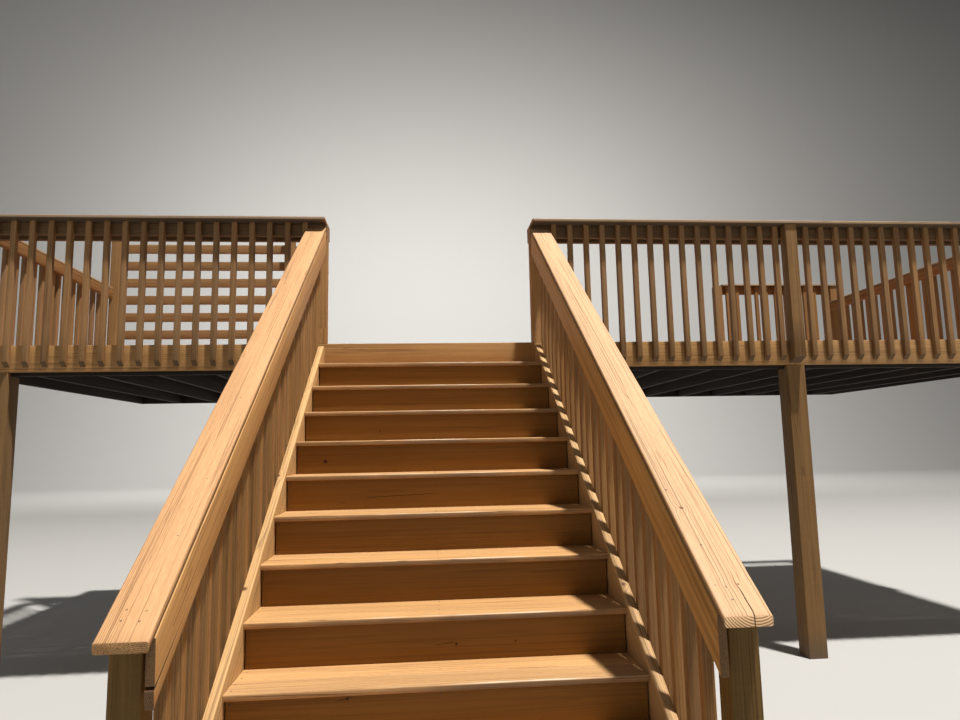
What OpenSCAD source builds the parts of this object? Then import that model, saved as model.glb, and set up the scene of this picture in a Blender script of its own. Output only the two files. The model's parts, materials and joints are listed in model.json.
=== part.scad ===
// Wooden deck stairs: a straight flight of closed-riser steps with a railing on
// each side, and the raised deck that it climbs to, with its own railings.
// Millimetres, +Z up. X runs along the deck front, Y runs from the foot of the
// stairs towards the ledger. The origin is on the back face of the ledger,
// on the centre line of the stairs and at half the ledger's height.

/* [Stairs] */
// height from one tread top to the next
rise = 178; // [150:1:200]
// depth of one step, riser face to riser face
going = 258; // [230:1:300]
// how far a tread stands out past the riser below it
nosing = 22; // [10:1:35]
// clear width between the two side stringers
stair_w = 1524; // [900:2:2000]
// thickness of tread boards, decking and caps
board_t = 25; // [19:1:38]
// gap between the two boards of one tread
tread_gap = 3; // [1:1:8]
// thickness of the riser boards
riser_t = 19; // [16:1:25]
// depth of the side stringer board, square to its length
stringer_d = 286; // [235:1:300]
// slope of the side stringer's top edge (rise over run)
stringer_slope = 0.6757; // [0.60:0.0001:0.75]

/* [Stair railing] */
// slope of the stair railing (rise over run)
rail_slope = 0.695; // [0.60:0.001:0.75]
// height of the cap's top over the tread line, plumb, at the fourth tread
cap_over = 837; // [750:1:950]
// width of a railing cap board
cap_w = 140; // [120:1:160]
// depth of the rail boards, square to their length
stair_rail_d = 140; // [120:1:160]
// how far the split at the low end of the left rail board has opened
split_gap = 8; // [2:1:20]
// distance from one left stair baluster to the next
pitch_left = 120.5; // [100:0.5:140]
// distance from one right stair baluster to the next
pitch_right = 125.5; // [100:0.5:140]

/* [Lumber] */
// thickness of framing lumber, and the side of a baluster
lum = 38; // [30:1:45]
// side of a railing post
post = 89; // [80:1:100]
// side of a deck support post
pier = 140; // [120:1:160]
// depth of joists, ledger and fascia boards
joist_d = 184; // [140:1:240]

/* [Deck] */
// deck depth, front fascia face to the back face of the ledger
deck_depth = 2896; // [1800:1:4000]
// left end of the deck, from the centre line of the stairs
deck_left = 3210; // [2400:5:4500]
// right end of the deck, from the centre line of the stairs
deck_right = 4880; // [4400:5:6000]
// gap between decking boards
deck_gap = 5; // [2:1:10]
// where the ledger ends and the back railing starts
corner_x = 3520; // [3000:10:4000]
// distance from one joist to the next
joist_pitch = 406; // [300:1:610]

/* [Deck railing] */
// height of the level caps over the deck
guard_h = 914; // [850:1:1070]
// height of the back railing's cap over the deck
back_h = 1130; // [1000:10:1200]
// distance from one left deck baluster to the next
pitch_dl = 126; // [100:0.5:140]
// distance from one right deck baluster to the next
pitch_dr = 123.5; // [100:0.5:140]
// depth of the level rail boards
rail_d = 89; // [80:1:140]
// where the left side railing ends, from the deck front
side_left_end = 2080; // [1500:10:2600]

/* [Slatted screen] */
// height of the screen posts over the deck
screen_h = 1600; // [1420:10:1800]
// width of the screen
screen_w = 1740; // [1000:10:2200]
// distance from one slat to the next
slat_pitch = 180; // [150:1:220]

/* [Output] */
// which node to draw

/* [Hidden] */
steps = 12;                              // treads below the deck
deck_z = (steps + 1) * rise;             // deck surface over the ground
hw = stair_w / 2;                        // inner face of a side stringer
y0 = -9 * going - nosing;                // nosing of the fourth tread
tread_d = going + nosing;                // depth of a tread
tread_b = (tread_d - tread_gap) / 2;     // depth of one tread board
frame_z = deck_z - board_t;              // top of the joists
ledger_z = frame_z - joist_d / 2;        // half the ledger's height
fascia_z = deck_z - joist_d;             // underside of the fascia
cap_z = deck_z + guard_h;                // top of the level caps
foot_y = -2955;                          // front face of the foot posts
rail_end = -2986;                        // low end of the stair rail boards
cap_end = -3027;                         // low end of the stair caps
stringer_end = -3150;                    // low end of the side stringers
open_x = 757;                            // half the opening at the stair head
mid_post_x = 2710;                       // left side of the middle front post
stair_rail_in = hw - 4;                  // inner face of a stair rail board
stair_cap_in = hw - 2;                   // inner edge of a stair cap
baluster_foot = 115;                     // how far deck balusters lap the fascia
k_rail = sqrt(1 + rail_slope * rail_slope);
k_str = sqrt(1 + stringer_slope * stringer_slope);
rows = 20;                               // rows of decking
joists_n = floor((deck_left + deck_right - 3 * lum) / joist_pitch) + 1;
wood = [0.74, 0.53, 0.33];
wood_dark = [0.50, 0.34, 0.20];
wood_light = [0.80, 0.60, 0.39];

// left side of a joist
function joist_x(i) = -deck_left + lum + i * joist_pitch;

// height of the stair cap's top, and of the side stringer's top edge, at y
function cap_top(y) = 4 * rise + cap_over + rail_slope * (y - y0);
function cap_low(y) = cap_top(y) - board_t * k_rail;
function str_top(y) = 4 * rise + 24 + stringer_slope * (y - y0);

// every module draws from the deck front and the ground; this sets the origin
module put() { translate([0, -deck_depth, -ledger_z]) children(); }

// a box from two corners
module box(a, b) { translate(a) cube([b[0] - a[0], b[1] - a[1], b[2] - a[2]]); }

// an outline in Y and Z, made solid from x0 to x1
module side(x0, x1, pts) {
  translate([x0, 0, 0]) rotate([90, 0, 90]) linear_extrude(height = x1 - x0) polygon(pts);
}

// an outline in X and Z, made solid from y0 to y1
module front(ya, yb, pts) {
  translate([0, yb, 0]) rotate([90, 0, 0]) linear_extrude(height = yb - ya) polygon(pts);
}

// a board that follows the stair railing, between two plumb depths below the cap top
module raked(xa, xb, ya, yb, d0, d1) {
  side(xa, xb, [[ya, cap_top(ya) - d1], [yb, cap_top(yb) - d1],
                [yb, cap_top(yb) - d0], [ya, cap_top(ya) - d0]]);
}

// closed side stringer, level cut at the ground and at the head
module stringer(xa, xb) {
  low = stringer_d * k_str;
  head = deck_z - 26;
  y_head = y0 + (head - 4 * rise - 24) / stringer_slope;
  y_base = y0 + (low - 4 * rise - 24) / stringer_slope;
  color(wood) side(xa, xb, [
    [stringer_end, 0], [y_base, 0], [0, str_top(0) - low], [0, head],
    [y_head, head], [stringer_end, str_top(stringer_end)]]);
}
module stringer_left() { put() stringer(-hw - lum, -hw); }
module stringer_right() { put() stringer(hw, hw + lum); }

// notched inner stringer under the treads
function notch(i) = let (y = -(steps + 1 - i) * going + riser_t)
  [[y, i == 1 ? 0 : (i - 1) * rise - board_t], [y, i * rise - board_t]];
module carriage(x) {
  throat = 330;
  y_end = -throat / rise * going + going;
  color(wood_dark) side(x - lum / 2, x + lum / 2, concat(
    [for (i = [1:steps]) each notch(i)],
    [[0, steps * rise - board_t], [0, (steps + 1) * rise - throat - board_t],
     [-(steps + 1) * going + going * (throat + board_t) / rise, 0]]));
}
module carriage_1() { put() carriage(-hw + lum / 2); }
module carriage_2() { put() carriage(0); }
module carriage_3() { put() carriage(hw - lum / 2); }

// one tread of two boards
module tread(i) {
  y = -(steps + 1 - i) * going - nosing;
  z = i * rise;
  put() color(wood_light) {
    box([-hw, y, z - board_t], [hw, y + tread_b, z]);
    box([-hw, y + tread_b + tread_gap, z - board_t], [hw, y + tread_d, z]);
  }
}
module tread_01() { tread(1); }
module tread_02() { tread(2); }
module tread_03() { tread(3); }
module tread_04() { tread(4); }
module tread_05() { tread(5); }
module tread_06() { tread(6); }
module tread_07() { tread(7); }
module tread_08() { tread(8); }
module tread_09() { tread(9); }
module tread_10() { tread(10); }
module tread_11() { tread(11); }
module tread_12() { tread(12); }

// riser boards, a few millimetres clear of the side stringers
module risers() {
  put() color(wood_dark) for (i = [1:steps]) {
    y = -(steps + 1 - i) * going;
    foot = i == 1 ? 0 : (i - 1) * rise - board_t;
    box([-hw + 5, y, foot], [hw - 5, y + riser_t, i * rise - board_t]);
  }
}

// board under the fascia, which the heads of the stringers meet
module stair_header() {
  put() color(wood_dark) box([-hw - lum, 0, fascia_z - joist_d], [hw + lum, lum, fascia_z]);
}

// stair caps
module stair_cap_left() {
  put() color(wood_light) raked(-stair_cap_in - cap_w, -stair_cap_in, cap_end, 0, 0, board_t * k_rail);
}
module stair_cap_right() {
  put() color(wood_light) raked(stair_cap_in, stair_cap_in + cap_w, cap_end, 0, 0, board_t * k_rail);
}

// a point at depth d under the cap's top, square to the slope
function under_cap(y, d) = [y, cap_top(y) - d * k_rail];

// stair rail boards, inside the posts; the left one has split at its low end
module stair_rail_left() {
  a = board_t;
  b = board_t + stair_rail_d;
  g = split_gap;
  put() color(wood) side(-stair_rail_in - board_t, -stair_rail_in, [
    under_cap(rail_end, a), under_cap(0, a), under_cap(0, b),
    under_cap(-2600, b), under_cap(-2800, b + 0.8 * g), under_cap(rail_end + 6, b + 1.7 * g),
    under_cap(rail_end + 1, b - 36 + g), under_cap(rail_end + 90, b - 31 + 0.6 * g),
    under_cap(-2800, b - 27 + 0.25 * g), under_cap(-2640, b - 23),
    under_cap(-2800, b - 27), under_cap(rail_end + 84, b - 32), under_cap(rail_end + 5, b - 36)]);
}
module stair_rail_right() {
  put() color(wood) raked(stair_rail_in, stair_rail_in + board_t, rail_end, 0, board_t * k_rail, (board_t + stair_rail_d) * k_rail);
}

// strips that pack the rail boards out from the posts and balusters
module stair_rail_strips() {
  xa = stair_rail_in + board_t;
  xb = hw + lum;
  put() color(wood) {
    raked(-xb, -xa, foot_y + 14, 0, (board_t + 12) * k_rail, (board_t + 92) * k_rail);
    raked(xa, xb, foot_y + 14, 0, (board_t + 12) * k_rail, (board_t + 92) * k_rail);
  }
}

// stair balusters, outside the rail boards and the side stringers
module stair_baluster(xa, y) {
  lap = 120;
  side(xa, xa + lum, [
    [y, str_top(y) - lap], [y + lum, str_top(y) - lap + lum],
    [y + lum, cap_low(y + lum)], [y, cap_low(y)]]);
}
module stair_balusters_left() {
  put() color(wood) for (i = [0:22]) stair_baluster(-hw - 2 * lum, -2768 + i * pitch_left);
}
module stair_balusters_right() {
  put() color(wood) for (i = [0:21]) stair_baluster(hw + lum, -2752 + i * pitch_right);
}

// posts at the foot of the stairs
module foot_post(xa) {
  side(xa, xa + post, [
    [foot_y, 0], [foot_y + post, 0], [foot_y + post, cap_low(foot_y + post)], [foot_y, cap_low(foot_y)]]);
}
module foot_posts() {
  put() color(wood) for (x = [-hw - lum - post, hw + lum]) foot_post(x);
}

// posts at the head of the stairs, standing on the deck
module head_posts() {
  put() color(wood) for (x = [-open_x - post, open_x])
    box([x, lum, deck_z], [x + post, lum + post, cap_z - board_t]);
}
// short blocks in front of their feet
module head_blocks() {
  put() color(wood) {
    box([-open_x - 76, 0, deck_z], [-open_x + 13, lum, deck_z + 115]);
    box([open_x - 4, 0, deck_z], [open_x + 76, lum, deck_z + 90]);
  }
}

// deck frame; the front board is jointed behind the middle post
module fascia_front() {
  xm = mid_post_x + post / 2;
  put() color(wood) {
    box([-deck_left, 0, fascia_z], [xm - 1, lum, deck_z]);
    box([xm + 1, 0, fascia_z], [deck_right, lum, deck_z]);
  }
}
module fascia_sides() {
  put() color(wood) for (x = [-deck_left, deck_right - lum])
    box([x, lum, fascia_z], [x + lum, deck_depth, deck_z]);
}
module rim_joists() {
  put() color(wood_dark) {
    box([-deck_left + lum, lum, frame_z - joist_d], [deck_right - lum, 2 * lum, frame_z]);
    box([corner_x + 2, deck_depth - lum, frame_z - joist_d], [deck_right - lum, deck_depth, frame_z]);
  }
}
module ledger() {
  put() color(wood_dark) box([-deck_left + lum, deck_depth - lum, frame_z - joist_d], [corner_x, deck_depth, frame_z]);
}
module joists() {
  put() color(wood_dark) {
    for (i = [0:joists_n - 1]) joist(joist_x(i));
    joist(deck_right - 2 * lum);
  }
}
module joist(x) { box([x, 2 * lum, frame_z - joist_d], [x + lum, deck_depth - lum, frame_z]); }

// decking rows, each of two boards that meet over a joist
module decking() {
  w = (deck_depth - lum - (rows - 1) * deck_gap) / rows;
  put() color(wood_light) for (i = [0:rows - 1]) {
    y = lum + i * (w + deck_gap);
    xj = joist_x(i % 2 == 0 ? 7 : 12) + lum / 2;
    box([-deck_left + lum, y, frame_z], [xj - 1, y + w, deck_z]);
    box([xj + 1, y, frame_z], [deck_right - lum, y + w, deck_z]);
  }
}

// posts under the deck front, notched under the fascia; the one behind the stairs stands behind it
module pier_at(x) {
  side(x, x + pier, [
    [0, 0], [pier, 0], [pier, frame_z - joist_d], [lum, frame_z - joist_d], [lum, fascia_z], [0, fascia_z]]);
}
module support_posts() {
  put() color(wood) {
    for (x = [-3050, 2688, 4620]) pier_at(x);
    box([-190, lum, 0], [-190 + pier, lum + pier, frame_z - joist_d]);
  }
}

// level caps, butted at the corners with a hairline gap; two boards wide along the front
module deck_caps() {
  a = post + 12;
  put() color(wood_light) {
    for (y = [-a, -a + cap_w + tread_gap]) {
      box([-deck_left + lum + 2, y, cap_z - board_t], [-open_x, y + cap_w, cap_z]);
      box([open_x, y, cap_z - board_t], [deck_right - lum - 2, y + cap_w, cap_z]);
    }
    box([-deck_left + lum - cap_w, -a, cap_z - board_t], [-deck_left + lum, side_left_end - 2, cap_z]);
    box([deck_right - lum, -a, cap_z - board_t], [deck_right - lum + cap_w, deck_depth - post - 2, cap_z]);
    box([corner_x + 2, deck_depth - a, deck_z + back_h - board_t],
        [deck_right + a, deck_depth - a + cap_w, deck_z + back_h]);
  }
}

// level rail boards on edge under the caps, on both faces of the posts along the front;
// the back railing has a lower one too
module deck_rails() {
  z1 = cap_z - board_t;
  z2 = deck_z + back_h - board_t;
  put() color(wood) {
    for (y = [0, lum + post]) {
      box([-deck_left + lum + 2, y, z1 - rail_d], [-open_x, y + lum, z1]);
      box([open_x, y, z1 - rail_d], [deck_right - lum - 2, y + lum, z1]);
    }
    box([-deck_left, 0, z1 - rail_d], [-deck_left + lum, side_left_end - 2, z1]);
    box([deck_right - lum, 0, z1 - rail_d], [deck_right, deck_depth - lum, z1]);
    for (z = [z2 - post, deck_z + 60])
      box([corner_x + 2, deck_depth - lum, z], [deck_right, deck_depth, z + post]);
  }
}

// posts of the level railings, bolted outside the fascia; one stands on the deck, at the ledger's end
module rail_posts() {
  z1 = cap_z - board_t;
  z2 = deck_z + back_h - board_t;
  z0 = fascia_z + 12;
  put() color(wood) {
    for (x = [-deck_left, mid_post_x, deck_right - post])
      side(x, x + post, [[-post, z0 + 40], [0, z0], [0, z1], [-post, z1]]);
    front(1450, 1450 + post, [[deck_right, z0], [deck_right + post, z0 + 40], [deck_right + post, z1], [deck_right, z1]]);
    front(deck_depth - post, deck_depth, [[deck_right, z0], [deck_right + post, z0 + 40], [deck_right + post, z2], [deck_right, z2]]);
    front(1000, 1000 + post, [[-deck_left - post, z0 + 40], [-deck_left, z0], [-deck_left, z1], [-deck_left - post, z1]]);
    box([corner_x - post, deck_depth - post, deck_z], [corner_x, deck_depth, z2]);
  }
}

// balusters of the front railing, nailed outside the rail boards and the fascia
module baluster_front(x) {
  z0 = deck_z - baluster_foot;
  z1 = cap_z - board_t;
  side(x, x + lum, [[-lum, z0], [0, z0 - lum], [0, z1], [-lum, z1]]);
}
module balusters_front_left() {
  put() color(wood) for (i = [0:17]) baluster_front(-924 - i * pitch_dl);
}
module balusters_front_right() {
  put() color(wood) for (i = [0:31]) let (x = 908 + i * pitch_dr)
    if ((x < mid_post_x - lum || x > mid_post_x + post) && x < deck_right - post - lum) baluster_front(x);
}
// balusters of the side railings
module balusters_side_left() {
  z0 = deck_z - baluster_foot;
  z1 = cap_z - board_t;
  put() color(wood) for (i = [0:14]) let (y = 150 + i * 125)
    if (y < 1000 - lum - 10 || y > 1000 + post)
      front(y, y + lum, [[-deck_left - lum, z0], [-deck_left, z0 - lum], [-deck_left, z1], [-deck_left - lum, z1]]);
}
module balusters_side_right() {
  z0 = deck_z - baluster_foot;
  z1 = cap_z - board_t;
  put() color(wood) for (i = [0:20]) let (y = 150 + i * 125)
    if (y < 1450 - lum || y > 1450 + post)
      front(y, y + lum, [[deck_right, z0 - lum], [deck_right + lum, z0], [deck_right + lum, z1], [deck_right, z1]]);
}
// balusters of the back railing, on the deck side of its rails
module balusters_back() {
  put() color(wood) for (i = [0:10]) let (x = corner_x + 55 + i * 121)
    if (x < deck_right - 2 * lum) box([x, deck_depth - 2 * lum, deck_z], [x + lum, deck_depth - lum, deck_z + back_h - board_t]);
}

// slatted screen that stands on the deck where the left side railing ends
module screen_posts() {
  put() color(wood) for (x = [-deck_left, -deck_left + screen_w])
    box([x, side_left_end, deck_z], [x + post, side_left_end + post, deck_z + screen_h]);
}
module screen_slats() {
  y = side_left_end + post;
  put() color(wood) for (i = [0:5]) let (z = deck_z + 1390 - i * slat_pitch)
    box([-deck_left, y, z - post], [-deck_left + screen_w + post, y + lum, z]);
}

stringer_left();
stringer_right();
carriage_1();
carriage_2();
carriage_3();
tread_01();
tread_02();
tread_03();
tread_04();
tread_05();
tread_06();
tread_07();
tread_08();
tread_09();
tread_10();
tread_11();
tread_12();
risers();
stair_header();
stair_cap_left();
stair_cap_right();
stair_rail_left();
stair_rail_right();
stair_rail_strips();
stair_balusters_left();
stair_balusters_right();
foot_posts();
head_posts();
head_blocks();
fascia_front();
fascia_sides();
rim_joists();
ledger();
joists();
decking();
support_posts();
deck_caps();
deck_rails();
rail_posts();
balusters_front_left();
balusters_front_right();
balusters_side_left();
balusters_side_right();
balusters_back();
screen_posts();
screen_slats();
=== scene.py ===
import json
import math
import random

import bmesh
import bpy
import numpy as np
from mathutils import Matrix, Vector


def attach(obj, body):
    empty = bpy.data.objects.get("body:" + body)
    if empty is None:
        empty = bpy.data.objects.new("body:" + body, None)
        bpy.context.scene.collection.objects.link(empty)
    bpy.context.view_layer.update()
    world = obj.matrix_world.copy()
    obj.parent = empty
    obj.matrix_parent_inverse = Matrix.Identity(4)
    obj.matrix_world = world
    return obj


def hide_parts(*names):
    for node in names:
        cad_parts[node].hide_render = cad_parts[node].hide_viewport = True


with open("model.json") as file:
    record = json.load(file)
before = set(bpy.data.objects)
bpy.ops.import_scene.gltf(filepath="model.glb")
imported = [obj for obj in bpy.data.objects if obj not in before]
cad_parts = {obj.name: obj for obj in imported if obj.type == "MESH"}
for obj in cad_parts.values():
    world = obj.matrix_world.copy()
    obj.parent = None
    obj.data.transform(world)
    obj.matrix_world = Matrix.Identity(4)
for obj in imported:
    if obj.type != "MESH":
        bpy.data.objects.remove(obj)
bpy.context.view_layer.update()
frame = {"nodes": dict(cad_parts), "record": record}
NODES = frame["nodes"]

# ------------------------------------------------------------------ measures
# Row frame: x = 0 on the stair centre line, y = 0 on the back of the ledger.
DECK_FRONT = -2.896          # front face of the fascia
GROUND = -2.197              # ground level
DECK_TOP = 13 * 0.178 + GROUND
GOING, RISE, NOSING = 0.258, 0.178, 0.022


def S(x, y, z):
    """A point given from the deck front and the ground, in the row frame."""
    return Vector((x, y + DECK_FRONT, z + GROUND))


# ------------------------------------------------------------------ node trees
class Tree:
    """Short names for building a shader tree."""

    def __init__(self, tree):
        self.t = tree
        self.t.nodes.clear()

    def new(self, kind, **props):
        n = self.t.nodes.new(kind)
        for k, v in props.items():
            setattr(n, k, v)
        return n

    def put(self, socket, value):
        if isinstance(value, bpy.types.NodeSocket):
            self.t.links.new(value, socket)
        elif value is not None:
            socket.default_value = value

    def m(self, op, a, b=None, c=None, clamp=False):
        n = self.new("ShaderNodeMath", operation=op, use_clamp=clamp)
        for i, v in enumerate((a, b, c)):
            self.put(n.inputs[i], v)
        return n.outputs[0]

    def add(self, *a):
        out = a[0]
        for b in a[1:]:
            out = self.m("ADD", out, b)
        return out

    def mul(self, *a):
        out = a[0]
        for b in a[1:]:
            out = self.m("MULTIPLY", out, b)
        return out

    def sub(self, a, b):
        return self.m("SUBTRACT", a, b)

    def vm(self, op, a, b=None, scale=None):
        n = self.new("ShaderNodeVectorMath", operation=op)
        self.put(n.inputs[0], a)
        if b is not None:
            self.put(n.inputs[1], b)
        if scale is not None:
            self.put(n.inputs["Scale"], scale)
        return n.outputs["Value"] if op in ("LENGTH", "DOT_PRODUCT", "DISTANCE") else n.outputs["Vector"]

    def sep(self, v):
        n = self.new("ShaderNodeSeparateXYZ")
        self.put(n.inputs[0], v)
        return n.outputs[0], n.outputs[1], n.outputs[2]

    def comb(self, x, y, z):
        n = self.new("ShaderNodeCombineXYZ")
        for i, v in enumerate((x, y, z)):
            self.put(n.inputs[i], v)
        return n.outputs[0]

    def step(self, x, lo, hi, a=0.0, b=1.0):
        n = self.new("ShaderNodeMapRange", interpolation_type="SMOOTHSTEP")
        self.put(n.inputs["Value"], x)
        n.inputs["From Min"].default_value = lo
        n.inputs["From Max"].default_value = hi
        n.inputs["To Min"].default_value = a
        n.inputs["To Max"].default_value = b
        return n.outputs["Result"]

    def lin(self, x, lo, hi, a=0.0, b=1.0):
        n = self.new("ShaderNodeMapRange", interpolation_type="LINEAR", clamp=True)
        self.put(n.inputs["Value"], x)
        n.inputs["From Min"].default_value = lo
        n.inputs["From Max"].default_value = hi
        n.inputs["To Min"].default_value = a
        n.inputs["To Max"].default_value = b
        return n.outputs["Result"]

    def noise(self, vec, detail=2.0, rough=0.5, distort=0.0):
        n = self.new("ShaderNodeTexNoise", noise_dimensions="3D", normalize=True)
        self.put(n.inputs["Vector"], vec)
        n.inputs["Scale"].default_value = 1.0
        n.inputs["Detail"].default_value = detail
        n.inputs["Roughness"].default_value = rough
        n.inputs["Distortion"].default_value = distort
        return n.outputs[0]

    def cells(self, vec, dims="2D"):
        n = self.new("ShaderNodeTexVoronoi", voronoi_dimensions=dims, feature="F1")
        self.put(n.inputs["Vector"], vec)
        n.inputs["Scale"].default_value = 1.0
        n.inputs["Randomness"].default_value = 0.85
        return n.outputs["Position"], n.outputs["Color"]

    def mix(self, fac, a, b, blend="MIX"):
        n = self.new("ShaderNodeMix", data_type="RGBA", blend_type=blend, clamp_factor=True)
        self.put(n.inputs[0], fac)
        for i, v in ((6, a), (7, b)):
            if isinstance(v, tuple) and len(v) == 3:
                v = (*v, 1.0)
            self.put(n.inputs[i], v)
        return n.outputs[2]

    def gray(self, f):
        """A number as a colour to multiply with."""
        n = self.new("ShaderNodeCombineColor")
        for i in range(3):
            self.put(n.inputs[i], f)
        return n.outputs[0]

    def attr(self, name):
        n = self.new("ShaderNodeAttribute", attribute_type="GEOMETRY", attribute_name=name)
        return n


def shader(mat):
    mat.use_nodes = True
    t = Tree(mat.node_tree)
    out = t.new("ShaderNodeOutputMaterial")
    bsdf = t.new("ShaderNodeBsdfPrincipled")
    t.t.links.new(bsdf.outputs[0], out.inputs[0])
    return t, bsdf


def wood(name, light, dark, late, gap, end, worn, grime, ring=0.3, streak=0.55, lines=0.4,
         checks=0.5, knots=0.4, patch=0.16, fibre=0.10, tint=0.16, rough=0.6, relief=1.0, saw=0.0, thin=0.0,
         fleck=0.0, raw=None, spots=(), marks=()):
    """Stained lumber. Per point: gc is its place along, across and through its board in metres, br three
    random numbers of the board, pt the pith's place across and through the board and the rings' width,
    tn the board's tone, darkened on some boards and parts of boards as painted shade, wr how worn
    (above 0) or grimy (below 0) it is. Per face: en is 1 on a sawn end a half on a weathered one and a
    quarter on a torn one. spots are knots and nail holes at given points."""
    mat = bpy.data.materials.new(name)
    t, bsdf = shader(mat)
    gc = t.attr("gc").outputs["Vector"]
    br = t.attr("br").outputs["Vector"]
    pt = t.attr("pt").outputs["Vector"]
    tn = t.attr("tn").outputs["Vector"]
    en = t.attr("en").outputs["Fac"]
    wr = t.attr("wr").outputs["Fac"]
    u, v, w = t.sep(gc)
    r1, r2, r3 = t.sep(br)
    v0, w0, rw = t.sep(pt)
    off = t.vm("MULTIPLY", br, (23.7, 31.1, 17.3))
    p = t.vm("ADD", gc, off)

    def field(su, sv, sw, **k):
        return t.noise(t.vm("MULTIPLY", p, (su, sv, sw)), **k)

    # knots, round on the faces: a cell grid stretched along the board
    cell = t.comb(t.add(t.mul(u, 1 / 0.62), t.mul(r1, 41.0)), t.add(t.mul(v, 1 / 0.15), t.mul(r2, 29.0)), 0.0)
    pos, col = t.cells(cell)
    dk = t.vm("LENGTH", t.vm("MULTIPLY", t.vm("SUBTRACT", cell, pos), (0.62, 0.15, 0.0)))
    c1, c2, c3 = t.sep(col)
    on = t.step(c1, 1 - knots, 1 - knots + 0.02)
    size = t.add(t.mul(c2, 0.008), 0.0035)
    near = t.m("DIVIDE", dk, size)
    knot = t.mul(t.step(near, 1.0, 0.78), on)
    rim = t.mul(t.step(near, 1.55, 1.0), on)
    swirl = t.mul(t.m("EXPONENT", t.mul(t.m("POWER", t.m("DIVIDE", dk, t.mul(size, 3.2)), 2.0), -1.0)), on)
    if spots:
        co = t.new("ShaderNodeTexCoord").outputs["Object"]
        for at, r, around in spots:
            d = t.vm("LENGTH", t.vm("SUBTRACT", co, tuple(at)))
            d = t.add(d, t.mul(t.sub(field(40.0, 160.0, 160.0, detail=1.0), 0.5), r * 0.7))
            knot = t.m("MAXIMUM", knot, t.step(d, r, r * 0.7))
            if around:
                rim = t.m("MAXIMUM", rim, t.step(d, r * 1.7, r))
                swirl = t.m("MAXIMUM", swirl, t.m("EXPONENT", t.mul(t.m("POWER", t.mul(d, 1 / (r * 3.4)), 2.0), -1.0)))

    mark = None
    for at, half, slope in marks:
        x, y, z = t.sep(t.vm("SUBTRACT", t.new("ShaderNodeTexCoord").outputs["Object"], tuple(at)))
        q = t.mul(t.sub(z, t.mul(x, slope)), 1 / 0.0012)
        e = t.add(t.mul(x, x, 1 / half ** 2), t.mul(q, q), t.mul(t.sub(field(30.0, 90.0, 90.0, detail=1.0), 0.5), 1.1))
        e = t.mul(t.step(e, 1.0, 0.6), t.step(t.m("ABSOLUTE", y), 0.02, 0.01))
        mark = e if mark is None else t.m("MAXIMUM", mark, e)

    # growth rings round the pith
    wob = t.sub(field(1.1, 5.0, 5.0, detail=2.0), 0.5)
    wob2 = t.sub(field(0.6, 2.0, 2.0, detail=1.0), 0.5)
    pv = t.add(t.sub(v, v0), t.mul(u, t.mul(t.sub(r3, 0.5), 0.026)), t.mul(wob, 0.009))
    pw = t.add(t.sub(w, w0), t.mul(u, t.mul(t.sub(r2, 0.5), 0.016)), t.mul(wob2, 0.016))
    rr = t.m("SQRT", t.add(t.mul(pv, pv), t.mul(pw, pw)))
    rr = t.add(rr, t.mul(swirl, 0.009))
    ringc = t.add(t.m("DIVIDE", rr, rw), t.mul(field(3.0, 60.0, 60.0, detail=1.0), 0.35))
    f = t.m("FRACT", ringc)
    latef = t.mul(t.step(f, 0.42, 0.92), t.step(f, 1.0, 0.95))
    vary = field(0.9, 9.0, 9.0, detail=1.0)
    late_amt = t.mul(latef, t.lin(vary, 0.3, 0.7, 0.30, 1.0))

    fib = field(7.0, 460.0, 460.0, detail=1.5)
    med = field(1.7, 62.0, 62.0, detail=3.0, rough=0.6)
    wide = field(0.8, 16.0, 16.0, detail=2.0)
    big = field(1.6, 6.0, 6.0, detail=2.0)

    # long thin lines and drying checks along the grain, none of them on the ends
    face = t.step(en, 0.4, 0.0)
    hair = t.m("ABSOLUTE", t.sub(field(0.35, 46.0, 46.0, detail=1.0), 0.5))
    hair = t.mul(t.step(hair, 0.034, 0.012), t.step(field(0.8, 12.0, 12.0, detail=1.0), 0.40, 0.50), face)
    slant = t.m("DIVIDE", t.m("ABSOLUTE", pv), rr)
    narrow = t.mul(t.step(f, 0.78, 0.88), t.step(f, 1.0, 0.97), t.step(slant, 0.10, 0.30),
                   t.step(field(1.4, 15.0, 15.0, detail=1.5), 0.42, 0.54), face)
    line = t.m("ABSOLUTE", t.sub(field(1.0, 48.0, 48.0, detail=0.5), 0.5))
    where = t.step(field(1.5, 17.0, 17.0, detail=1.0), 0.50, 0.60)
    check = t.mul(t.step(line, 0.013, 0.003), where, checks, face)
    if mark is not None:
        check = t.m("MAXIMUM", check, mark)

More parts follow.
